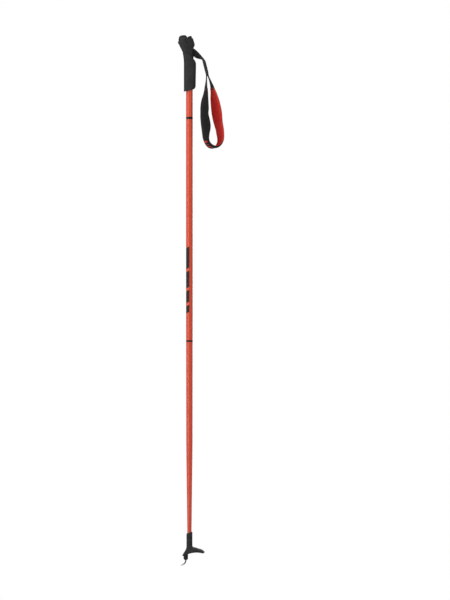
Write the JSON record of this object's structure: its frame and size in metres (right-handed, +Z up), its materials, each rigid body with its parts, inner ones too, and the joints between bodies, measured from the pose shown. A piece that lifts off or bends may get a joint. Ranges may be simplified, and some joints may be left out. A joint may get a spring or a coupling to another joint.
{
  "type": "cross-country ski pole",
  "caption": "Cross-country ski pole: tapered lacquered tube, moulded grip with a wedge-locked padded hand strap, half-moon basket and bent steel tip.",
  "frame": {"origin": "on the shaft's axis at the middle of the hand's hold on the handle", "axes": "+Z up the shaft, from the tip to the head; +X backwards, the side of the strap and of the long half of the basket"},
  "size_m": [0.1144, 0.06, 1.2925],
  "materials": {
    "shaft_lacquer": "orange-red lacquer over a composite tube",
    "head_plastic": "satin moulded charcoal",
    "handle_rubber": "soft-touch charcoal",
    "wedge_plastic": "moulded black",
    "webbing": "woven black polyester",
    "pad_fabric": "black woven face fabric",
    "foam": "closed-cell foam",
    "lining": "red brushed lining",
    "thread": "black sewing thread",
    "basket_plastic": "satin moulded charcoal",
    "glue": "amber hot-melt",
    "spike_steel": "bright ground steel"
  },
  "bodies": {
    "pole": {"shaft_tube": "shaft_lacquer", "grip_adhesive": "glue", "grip_head": "head_plastic", "handle_sleeve": "handle_rubber", "webbing_in_grip": "webbing", "basket": "basket_plastic", "basket_adhesive": "glue", "tip_spike": "spike_steel"},
    "wedge": {"strap_wedge": "wedge_plastic"},
    "strap_neck": {"webbing_neck": "webbing"},
    "hand_loop": {"webbing_near_leg": "webbing", "webbing_far_leg": "webbing", "pad_outer_fabric": "pad_fabric", "pad_foam": "foam", "pad_lining": "lining", "neck_bar_tack": "thread", "near_bar_tack": "thread", "far_bar_tack": "thread"}
  },
  "joints": [
    {"name": "wedge_lift", "type": "slide", "parent": "pole", "child": "wedge", "axis": [0, 0, 1], "range_m": [0, 0.014]},
    {"name": "strap_side_swing", "type": "hinge", "parent": "pole", "child": "strap_neck", "pos_m": [0.0108, 0, 0.05], "axis": [0, 0, 1], "range_deg": [-40, 40]},
    {"name": "loop_swing", "type": "hinge", "parent": "strap_neck", "child": "hand_loop", "pos_m": [0.0355, 0, 0.029], "axis": [0.2894, -0.9572, 0], "range_deg": [-6, 60]}
  ]
}
